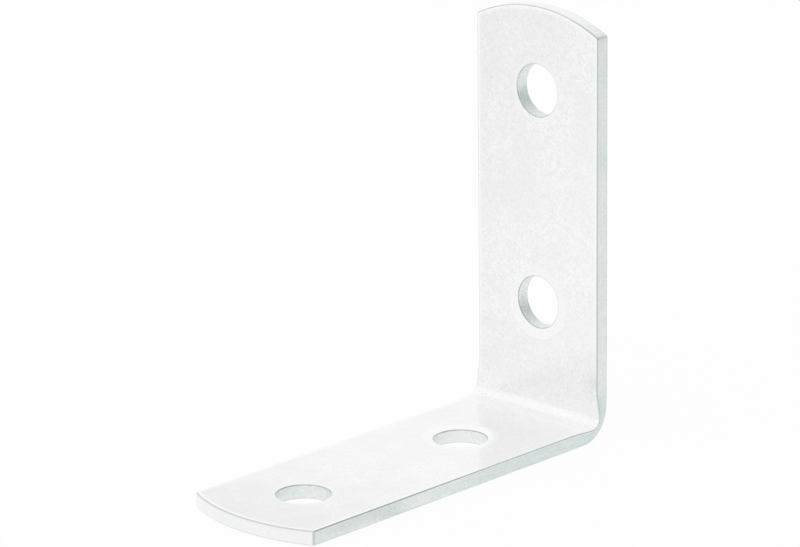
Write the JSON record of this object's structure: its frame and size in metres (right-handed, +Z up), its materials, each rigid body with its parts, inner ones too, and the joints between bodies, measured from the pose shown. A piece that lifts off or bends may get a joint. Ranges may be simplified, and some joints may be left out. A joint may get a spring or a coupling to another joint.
{
  "type": "angle bracket",
  "caption": "Small folded flat-strip angle bracket with equal legs, crowned ends and punched screw holes, in bright zinc-plated steel.",
  "frame": {"origin": "middle of the base leg's underside: half the leg's length from the upright's back face, and half the strip's width", "axes": "+X along the base leg towards its crowned free end, +Y across the strip, +Z up along the upright leg"},
  "size_m": [0.0406, 0.0158, 0.0405],
  "materials": {
    "zinc_plated_steel": "bright zinc plating over cold-rolled strip, satin with a fine mottled grain"
  },
  "bodies": {
    "root": {"angle_bracket": "zinc_plated_steel"}
  },
  "joints": []
}
